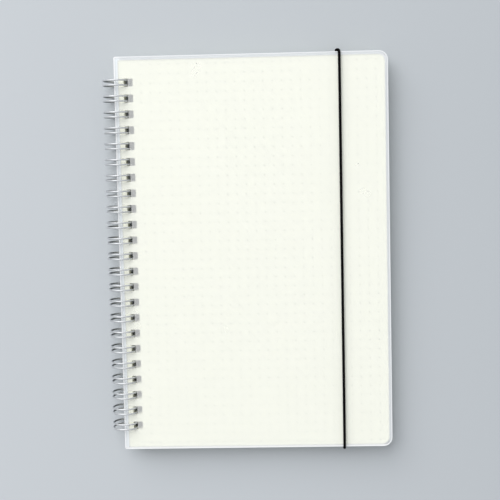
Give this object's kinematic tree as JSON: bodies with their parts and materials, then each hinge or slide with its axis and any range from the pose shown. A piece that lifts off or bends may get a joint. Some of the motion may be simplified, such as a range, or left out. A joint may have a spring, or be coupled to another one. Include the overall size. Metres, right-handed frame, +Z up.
{
  "type": "spiral notebook",
  "caption": "A5 notebook with frosted plastic covers, dot grid pages, a twin loop wire spine and a black elastic closure.",
  "frame": {"origin": "on the table under the middle of the closed book's box, with the wire's loops on the table", "axes": "+X from the spine to the fore-edge, +Y to the head of the book, +Z up out of the front cover"},
  "size_m": [0.1526, 0.2162, 0.0145],
  "materials": {
    "frosted_cover": "frosted translucent sheet",
    "paper": "uncoated cream with a pale grey dot grid",
    "silver_wire": "drawn wire with a silver coat",
    "black_elastic": "braided round elastic",
    "clip_steel": "pressed and tumbled"
  },
  "bodies": {
    "back_cover": {"back_cover": "frosted_cover", "wire_binding": "silver_wire", "elastic_band": "black_elastic", "elastic_clip_upper": "clip_steel", "elastic_clip_lower": "clip_steel"},
    "page_block": {"page_block": "paper"},
    "front_cover": {"front_cover": "frosted_cover"}
  },
  "joints": [
    {"name": "page_block_turn", "type": "hinge", "parent": "back_cover", "child": "page_block", "pos_m": [-0.06901, 0, 0.00728], "axis": [0, -1, 0], "range_deg": [0, 180], "deforming": ["elastic_band"]},
    {"name": "front_cover_turn", "type": "hinge", "parent": "page_block", "child": "front_cover", "pos_m": [-0.06901, 0, 0.00728], "axis": [0, -1, 0], "range_deg": [0, 180], "deforming": ["elastic_band"]}
  ]
}
